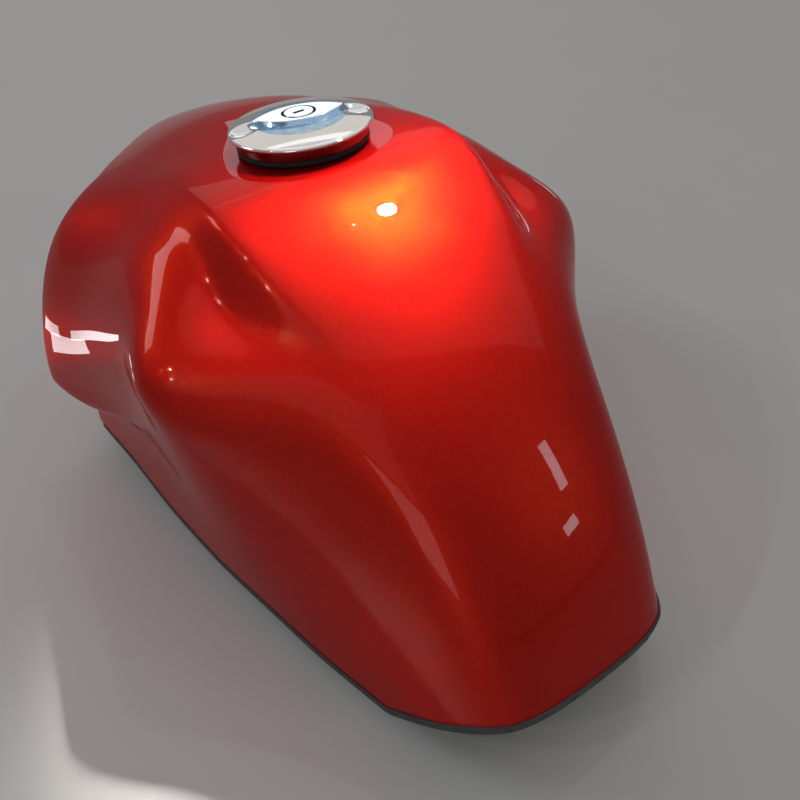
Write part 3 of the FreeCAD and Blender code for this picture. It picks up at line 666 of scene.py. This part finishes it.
def lathe(profile, steps):
    """A profile of (radius, height) turned about the Z axis, as a grid of points."""
    turn = np.linspace(0, 2 * math.pi, steps, endpoint=False)
    return np.array([[(radius * math.cos(a), radius * math.sin(a), height) for a in turn]
                     for radius, height in profile])


def dome_height(radius):
    """Height of the cap's dome over the rim at a distance from the middle."""
    return DOME_RISE * (1 - (radius / CAP_RADIUS) ** 2.6)


def cap_dome():
    """The chrome dome with its finger scoops, rolled rim and skirt, as one turned grid."""
    dome_edge = CAP_RADIUS - RIM_ROUND
    radius = np.concatenate([np.linspace(LOCK_OPENING, dome_edge, DOME_ROWS),
                             dome_edge + RIM_ROUND * np.sin(RIM_TURNS)])
    height = dome_height(np.minimum(radius, dome_edge))
    height[DOME_ROWS:] = height[DOME_ROWS - 1] - RIM_DROP * (1 - np.cos(RIM_TURNS))
    profile = list(zip(radius, height))
    profile += [(45.0, -0.9), (44.7, -1.7), (44.0, -2.2), (42.4, -2.3), (41.6, -2.6), (SKIRT_RADIUS, -3.2),
                (SKIRT_RADIUS, -7.9), (41.2, -8.4), (40.5, SKIRT_FOOT), (39.8, -8.4), (SKIRT_BORE, -7.9),
                (SKIRT_BORE, -3.4)]
    points = lathe(profile, 224)
    on_dome = np.arange(len(profile)) < DOME_ROWS + 2
    for sign in (-1, 1):
        out = np.linalg.norm((points - BAR_ALONG * SCOOP_PLACE * sign)[..., :2], axis=-1)
        ball = SCOOP_LOW + SCOOP_BALL - np.sqrt(np.maximum(SCOOP_BALL ** 2 - out ** 2, 0.01))
        gap = points[..., 2] - ball
        scooped = 0.5 * (points[..., 2] + ball - np.sqrt(gap ** 2 + 0.15 ** 2))
        points[..., 2] = np.where((out < SCOOP_BALL) & on_dome[:, None], scooped, points[..., 2])
    return points


def lens_ring(margin, share, steps=128):
    """A ring of the grip's lens outline drawn in by a margin, a share of the way from dome to top."""
    length, width = GRIP_LENGTH - margin * 1.3, GRIP_WIDTH - margin
    radius = (length ** 2 + width ** 2) / (2 * width)
    top = math.asin(min(length / radius, 1))
    turn = np.linspace(-top, top, steps // 2, endpoint=False)
    along = np.concatenate([radius * np.sin(turn), -radius * np.sin(turn)])
    across = np.concatenate([radius * np.cos(turn) - (radius - width),
                             -radius * np.cos(turn) + (radius - width)])
    foot = dome_height(np.hypot(along, across)) - 0.4
    return (np.outer(along, BAR_ALONG) + np.outer(across, BAR_ACROSS)
            + np.outer(foot + (GRIP_TOP - foot) * share, [0, 0, 1]))


def circle_ring(radius, height, steps=128):
    """A ring about the cap's axis whose points line up with the grip's rings."""
    turn = math.pi - np.linspace(0, 2 * math.pi, steps, endpoint=False)
    return (np.cos(turn)[:, None] * radius * BAR_ALONG + np.sin(turn)[:, None] * radius * BAR_ACROSS
            + [0, 0, height])


def ring_grid(name, rings, capped=False):
    """A tube of rings placed about the cap's axis, optionally capped at both ends."""
    rings = np.array(rings)
    count = rings.shape[1]
    faces = grid_faces(*rings.shape[:2], closed=True)
    if capped:
        start = (len(rings) - 1) * count
        faces += [tuple(range(count))[::-1], tuple(range(start, start + count))]
    return outward(mesh_from(name, round_cap(rings.reshape(-1, 3)), faces))


def joined_mesh(name, *meshes):
    """Several meshes as one."""
    work = bmesh.new()
    for mesh in meshes:
        work.from_mesh(mesh)
    joined = bpy.data.meshes.new(name)
    work.to_mesh(joined)
    work.free()
    return smooth(joined)


def cap_shell():
    """The dome, and the finger grip that stands on it round the well of the lock."""
    flank = [lens_ring(margin, share) for margin, share in GRIP_FLANK]
    top = [flank[-1] * [1 - t, 1 - t, 1] + circle_ring(LOCK_WELL + 0.3, 0) * [t, t, 0]
           for t in (0.3, 0.6, 0.85)]
    well = [circle_ring(radius, height) for radius, height in (
        (LOCK_WELL + 0.3, GRIP_TOP), (LOCK_WELL, GRIP_TOP - 0.25), (LOCK_WELL, GRIP_TOP - 0.6),
        (LOCK_WELL, 1.5))]
    grip = ring_grid("finger_grip", flank + top + well)
    return crisp(joined_mesh("cap_shell", ring_grid("cap_dome", cap_dome()), grip), 38)


def slot_ring(length, width, height, steps=96):
    """A ring round the key slot, with square-ish ends."""
    turn = np.linspace(0, 2 * math.pi, steps, endpoint=False)
    reach = (np.abs(np.cos(turn)) ** 6 + np.abs(np.sin(turn)) ** 6) ** (-1 / 6)
    along, across = reach * np.cos(turn) * length / 2, reach * np.sin(turn) * width / 2
    return np.column_stack([across, along, np.full(steps, height)])


def plain_ring(radius, height, steps=96):
    """A ring whose points line up with the key slot's rings."""
    turn = np.linspace(0, 2 * math.pi, steps, endpoint=False)
    return np.column_stack([radius * np.sin(turn), radius * np.cos(turn), np.full(steps, height)])


def lock_barrel():
    """The turned lock with a groove round its face and a sunken key slot."""
    face = GRIP_TOP + 0.1
    rings = [plain_ring(radius, height) for radius, height in (
        (LOCK_RADIUS, -11), (LOCK_RADIUS, face - 0.9), (LOCK_RADIUS, face - 0.3), (LOCK_RADIUS - 0.3, face),
        (5.6, face), (5.45, face - 0.15), (5.2, face - 0.15))]
    rings += [slot_ring(8.0, 3.3, face - 0.15), slot_ring(7.7, 3.0, face - 0.4), slot_ring(7.5, 2.8, 1.5)]
    return crisp(ring_grid("lock_barrel", rings, capped=True), 38)


def refaced(piece, material, low, high, near, far):
    """Give another material to the faces between two heights over the rim and between two radii; here it lays
    painted shade and a painted reflection on the cap and lock.
    """
    piece.data.materials.append(material)
    place = len(piece.data.materials) - 1
    for face in piece.data.polygons:
        up, out = from_cap(face.center)
        if low * MM < up < high * MM and near * MM < out.length < far * MM:
            face.material_index = place


cap = dress(add_piece("filler_cap", cap_shell()), CHROME, "cap_chrome", "cap", "cap_shell")
lock = dress(add_piece("key_lock", lock_barrel()), CHROME, "cap_chrome", "cap", "lock_barrel")
# Painted shade: near-black in the well round the lock.
refaced(cap, PAINTED_SHADE_BLACK, 0, GRIP_TOP - 0.35, LOCK_RADIUS - 1, LOCK_WELL + 0.1)
# Painted reflection: blue-grey chrome on the grip's flank and top.
refaced(cap, PAINTED_REFLECTION_CHROME, 3.0, GRIP_TOP - 0.12, LOCK_WELL + 1, CAP_RADIUS)
# Painted shade, with a painted red reflection, on the skirt under the rim.
refaced(cap, PAINTED_SHADE_CHROME, -9, -2.5, SKIRT_BORE - 1, CAP_RADIUS)
# Painted shade: near-black in the key slot and in the groove round the lock's face.
refaced(lock, PAINTED_SHADE_BLACK, -12, GRIP_TOP - 0.3, 0, 4.5)
refaced(lock, PAINTED_SHADE_BLACK, -12, GRIP_TOP - 0.5, LOCK_RADIUS - 0.5, LOCK_RADIUS + 0.5)


# CAD nodes that keep their shape.

for names, material in (
        (("filler_neck", "rear_sleeve", "overflow_pipe", "breather_pipe"), ZINC),
        (("rear_bracket", "front_channel_left", "front_channel_right"), SATIN_BLACK),
        # Painted shade: the filler ring near-black, as the gap under the cap's skirt.
        (("filler_ring",), PAINTED_SHADE_BLACK),
        (("rear_bush", "front_damper_left", "front_damper_right", "cap_gasket"), RUBBER),
        (("pump_flange",), PUMP_PLASTIC), (("cap_insert",), INSERT_PLASTIC)):
    for name in names:
        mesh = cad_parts[name].data
        mesh.materials.clear()
        mesh.materials.append(material)


# Repeated parts, each made by a Geometry Nodes tree with named sizes.


def geometry_group(name, **sizes):
    """An empty Geometry Nodes group that takes a shape, some sizes and a material."""
    inputs = {"Geometry": "Geometry", **sizes, "Material": "Material"}
    return empty_group(name, inputs, {"Geometry": "Geometry"}, "GeometryNodeTree")


def finished_tree(tree, given, out, geometry):
    """End a tree: real meshes in one material."""
    real = node(tree, "GeometryNodeRealizeInstances", {"Geometry": geometry})
    painted = node(tree, "GeometryNodeSetMaterial", {"Geometry": real.outputs["Geometry"],
                                                     "Material": given["Material"]})
    feed(tree, out, {"Geometry": painted.outputs["Geometry"]})
    return tree


def ring_tree():
    """The given shape repeated round a ring, its own +X pointing outwards."""
    tree, given, out = geometry_group("ring_of_parts", Count="Int", Radius="Float", Middle="Vector",
                                      Tilt="Vector")
    ring = node(tree, "GeometryNodeMeshCircle", {"Vertices": given["Count"], "Radius": given["Radius"]})
    place = node(tree, "GeometryNodeInputPosition")
    turn = node(tree, "FunctionNodeAlignRotationToVector", {"Vector": place.outputs["Position"]},
                axis="X", pivot_axis="Z")
    parts = node(tree, "GeometryNodeInstanceOnPoints", {"Points": ring.outputs["Mesh"],
                                                        "Instance": given["Geometry"],
                                                        "Rotation": turn.outputs["Rotation"]})
    placed_ring = node(tree, "GeometryNodeTransform", {"Geometry": parts.outputs["Instances"],
                                                       "Translation": given["Middle"],
                                                       "Rotation": given["Tilt"]})
    return finished_tree(tree, given, out, placed_ring.outputs["Geometry"])


def seam_tree():
    """A welded flange swept along the given line, with spot welds at an even spacing on its outside."""
    tree, given, out = geometry_group("welded_seam", Thickness="Float", Depth="Float", Spacing="Float",
                                      Weld="Object")
    line = node(tree, "GeometryNodeMeshToCurve", {"Mesh": given["Geometry"]})
    upright = node(tree, "GeometryNodeSetCurveNormal", {"Curve": line.outputs["Curve"]}, mode="Z_UP")
    strip = node(tree, "GeometryNodeCurvePrimitiveQuadrilateral", {"Width": given["Thickness"],
                                                                  "Height": given["Depth"]})
    flange = node(tree, "GeometryNodeCurveToMesh", {"Curve": upright.outputs["Curve"], "Fill Caps": True,
                                                    "Profile Curve": strip.outputs["Curve"]})
    spots = node(tree, "GeometryNodeResampleCurve", {"Curve": line.outputs["Curve"],
                                                     "Length": given["Spacing"]}, mode="LENGTH")
    tangent = node(tree, "GeometryNodeInputTangent")
    outwards = node(tree, "ShaderNodeVectorMath", {0: tangent.outputs["Tangent"], 1: (0, 0, 1)},
                    operation="CROSS_PRODUCT")
    turn = node(tree, "FunctionNodeAlignRotationToVector", {"Vector": outwards.outputs[0]}, axis="Z")
    weld = node(tree, "GeometryNodeObjectInfo", {"Object": given["Weld"]})
    welds = node(tree, "GeometryNodeInstanceOnPoints", {"Points": spots.outputs["Curve"],
                                                        "Instance": weld.outputs["Geometry"],
                                                        "Rotation": turn.outputs["Rotation"]})
    both = node(tree, "GeometryNodeJoinGeometry")
    tree.links.new(flange.outputs["Mesh"], both.inputs["Geometry"])
    tree.links.new(welds.outputs["Instances"], both.inputs["Geometry"])
    return finished_tree(tree, given, out, both.outputs["Geometry"])


def grown(name, mesh, tree, **sizes):
    """A piece grown from a mesh by a tree with these sizes, as a plain mesh."""
    piece = add_piece(name, mesh)
    growth = piece.modifiers.new("Growth", "NODES")
    growth.node_group = tree
    for socket in tree.interface.items_tree:
        if socket.in_out == "INPUT" and socket.name in sizes:
            growth[socket.identifier] = sizes[socket.name]
    return baked(piece)


def turned_mesh(name, profile, steps):
    """A small shape turned about its own Z axis and closed at both ends, in metres."""
    points = lathe(profile, steps) * MM
    faces = grid_faces(len(profile), steps, closed=True)
    faces += [tuple(range(steps))[::-1], tuple(range((len(profile) - 1) * steps, len(profile) * steps))]
    mesh = bpy.data.meshes.new(name)
    mesh.from_pydata(points.reshape(-1, 3).tolist(), [], faces)
    return outward(smooth(mesh))


RING, SEAM = ring_tree(), seam_tree()


def flange_screw():
    """A hexagon-head screw with its washer face, hanging head down from a flange."""
    head = turned_mesh("screw", [(3.95, 0.0), (3.95, -0.35), (3.5, -0.45)], 48)
    hexagon = bmesh.new()
    hexagon.from_mesh(head)
    corners = lathe([(3.9 * 0.97, -0.45), (3.9, -0.6), (3.9, -2.6), (3.9 * 0.9, -3.0)], 6) * MM
    rings = [[hexagon.verts.new(corner) for corner in ring] for ring in corners]
    for lower, upper in zip(rings, rings[1:]):
        for k in range(6):
            hexagon.faces.new((lower[k], lower[(k + 1) % 6], upper[(k + 1) % 6], upper[k]))
    hexagon.faces.new(rings[-1])
    hexagon.to_mesh(head)
    hexagon.free()
    return outward(head)


def insert_rib():
    """One upright rib of the cap's insert."""
    return turned_mesh("rib", [(0.2, -11.0), (0.75, -10.4), (0.9, -9.5), (0.9, 9.0)], 12)


pump_screws = grown("pump_screws", flange_screw(), RING, Count=6, Radius=0.031,
                    Middle=(0.230, 0.096, -0.0175), Material=ZINC)
dress(pump_screws, ZINC, "zinc_steel", "root", "pump_screws")

rib_middle = tuple((RIM_MIDDLE - 17.0 * CAP_AXIS) * MM)
insert_ribs = grown("insert_ribs", insert_rib(), RING, Count=30, Radius=0.0238, Middle=rib_middle,
                    Tilt=(0.0, DECK_TILT, 0.0), Material=INSERT_PLASTIC)
dress(insert_ribs, INSERT_PLASTIC, "insert_plastic", "cap")


def seam_line(body):
    """The line of the welded seam: along the left side, round the tail, and back along the right."""
    line = np.vstack([body[4:, -1], body[-1, ::-1][1:-1], body[4:, 0][::-1]])
    length = run_length(line)
    even = np.arange(0, length[-1], 4.0)
    line = np.column_stack([np.interp(even, length, line[:, k]) for k in range(3)])
    return line + [0, 0, -2.6]


line = seam_line(shell_rows[LIP_ROWS:])
line_mesh = bpy.data.meshes.new("seam_line")
line_mesh.from_pydata(placed(line * [1, 0.994, 1]).tolist(), [(k, k + 1) for k in range(len(line) - 1)], [])
weld = add_piece("weld", turned_mesh("weld", [(2.9, 0.9), (2.7, 1.35), (1.9, 1.55), (1.2, 1.35), (0.5, 1.3)],
                                     14))
seam = grown("welded_seam", line_mesh, SEAM, Thickness=0.0024, Depth=0.0072, Spacing=0.021, Weld=weld,
             Material=SATIN_BLACK)
bpy.data.objects.remove(weld)
crisp(seam.data)
dress(seam, SATIN_BLACK, "underside_paint", "root")


# Camera, floor and world.

CAMERA_PLACE, CAMERA_TURN = (-0.1199, 0.2126, 0.49457), (42.641, -0.191, -124.919)
PICTURE = 800
FLOOR_RADIUS, FLOOR_SIDES, FLOOR_COLOUR = 2.8, 96, (0.74, 0.73, 0.72)
SKY_COLOUR, SKY_AS_LIGHT, SKY_AS_SEEN = (0.95, 0.97, 1.0, 1), 0.04, 0.24


def make_camera():
    """The camera at the photo's place, a square picture as wide as its focal length."""
    data = bpy.data.cameras.new("camera")
    data.lens, data.sensor_width = 36.0, 36.0
    data.clip_start, data.clip_end = 0.01, 50.0
    made = bpy.data.objects.new("camera", data)
    made.location = CAMERA_PLACE
    made.rotation_euler = Euler([math.radians(angle) for angle in CAMERA_TURN], "XYZ")
    bpy.context.scene.collection.objects.link(made)
    bpy.context.scene.camera = made
    return made


def make_floor():
    """A plain pale disc that the part stands on."""
    mesh = bpy.data.meshes.new("studio_floor")
    rim = [(0.2 + FLOOR_RADIUS * math.cos(a), FLOOR_RADIUS * math.sin(a), FLOOR_HEIGHT)
           for a in np.linspace(0, 2 * math.pi, FLOOR_SIDES, endpoint=False)]
    mesh.from_pydata(rim, [], [tuple(range(FLOOR_SIDES))])
    material, tree, shader, place = new_material("pale_floor", Roughness=0.7)
    dark = tuple(c * 0.97 for c in FLOOR_COLOUR) + (1,)
    grain = group_node(tree, MOTTLE, Vector=place, Scale=3.0, Dark=dark, Light=FLOOR_COLOUR + (1,))
    feed(tree, shader, {"Base Color": grain.outputs["Color"]})
    mesh.materials.append(material)
    return add_piece("studio_floor", mesh)


def make_world():
    """A plain sky, brighter to the camera and in mirrors than as a light."""
    world = bpy.data.worlds.new("studio")
    bpy.context.scene.world = world
    world.use_nodes = True
    tree = world.node_tree
    ray = node(tree, "ShaderNodeLightPath").outputs
    seen = ray["Is Camera Ray"]
    for kind in ("Is Glossy Ray", "Is Transmission Ray"):
        seen = node(tree, "ShaderNodeMath", {0: seen, 1: ray[kind]}, operation="MAXIMUM").outputs[0]
    feed(tree, tree.nodes["Background"],
         {"Color": SKY_COLOUR, "Strength": ranged(tree, seen, SKY_AS_LIGHT, SKY_AS_SEEN)})


bpy.context.scene.view_settings.view_transform = "Standard"
camera = make_camera()
bpy.context.view_layer.update()
studio_floor = make_floor()
make_world()


# Lamps: those that the paint mirrors at given places of the picture, then the soft boxes round the room.

SUN, DAY = (1.0, 0.97, 0.92), (0.96, 0.98, 1.0)
shell_tree = BVHTree.FromObject(shell, bpy.context.evaluated_depsgraph_get())


def area_lamp(name, place, heading, size, watts, colour, shape="RECTANGLE", turn=0.0, beam=180):
    """A lamp, unseen by the camera, at a place, shining along a heading and turned about it."""
    data = bpy.data.lights.new(name, "AREA")
    data.shape, data.energy, data.color, data.spread = shape, watts, colour, math.radians(beam)
    data.size, data.size_y = size
    lamp = bpy.data.objects.new(name, data)
    lamp.location = place
    lamp.rotation_euler = heading.to_track_quat("-Z", "Y").to_euler()
    lamp.rotation_euler.rotate_axis("Z", math.radians(turn))
    lamp.visible_camera = False
    bpy.context.scene.collection.objects.link(lamp)


def mirrored_lamp(name, pixel, distance, size, watts, colour=DAY, **settings):
    """A lamp that the paint behind a pixel mirrors to the camera."""
    across, down = (pixel[0] - PICTURE / 2) / PICTURE, (PICTURE / 2 - pixel[1]) / PICTURE
    look = (camera.matrix_world.to_quaternion() @ Vector((across, down, -1))).normalized()
    point, normal, _, _ = shell_tree.ray_cast(camera.location, look)
    away = look.reflect(normal)
    area_lamp(name, point + away * distance, -away, size, watts, colour, **settings)


def wall_panel(name, heading, rise, distance, size, watts, colour):
    """A soft box seen from the cap in a direction: degrees to the left of ahead and above level."""
    a, b = math.radians(heading), math.radians(rise)
    away = Vector((math.cos(a) * math.cos(b), math.sin(a) * math.cos(b), math.sin(b)))
    area_lamp(name, Vector(RIM_MIDDLE * MM) + away * distance, -away, size, watts, colour)


mirrored_lamp("key", (386, 212), 2.4, (0.15, 0.15), 0.21, SUN, shape="DISK", beam=5.8)
mirrored_lamp("key_second", (355, 226), 2.4, (0.03, 0.03), 0.1, SUN, shape="DISK", beam=50)
for name, pixel in (("spot_near", (283, 341)), ("spot_far", (268, 288))):
    mirrored_lamp(name, pixel, 2.4, (0.05, 0.05), 0.12, (1, 1, 1), shape="DISK", beam=50)
mirrored_lamp("window_rear", (425, 535), 2.6, (0.8, 1.1), 5.0)
mirrored_lamp("window_right", (552, 192), 2.6, (0.35, 0.35), 3.5)
mirrored_lamp("card_corner", (67, 346), 0.26, (0.034, 0.032), 0.0024, turn=8, beam=70)
mirrored_lamp("card_front", (102, 338), 0.26, (0.034, 0.015), 0.0013, turn=-6, beam=70)
mirrored_lamp("card_low", (94, 367), 0.26, (0.085, 0.004), 0.0006, beam=70)
mirrored_lamp("pane_right", (553, 465), 2.6, (0.14, 0.5), 0.3, turn=-15, beam=70)
mirrored_lamp("pane_low", (572, 525), 2.6, (0.22, 0.14), 0.12, beam=70)
area_lamp("ceiling_panel", (1.3, -2.1, 2.6), Vector((0, 0, -2.6)), (5.2, 5.9), 41, (1.0, 0.98, 0.96),
          turn=-9.6)
wall_panel("left_window", 40.0, 27.0, 2.8, (0.9, 0.7), 10, (0.93, 0.97, 1.0))
wall_panel("left_soft", 116.0, 36.0, 2.8, (2.4, 1.6), 4.5, (1.0, 0.97, 0.95))
wall_panel("front_window", -23.5, 9.8, 3.4, (0.9, 0.5), 1.75, (0.82, 0.93, 1.0))
wall_panel("front_wall_glow", -22.0, 24.0, 3.6, (3.0, 1.3), 6.0, (1.0, 0.90, 0.76))
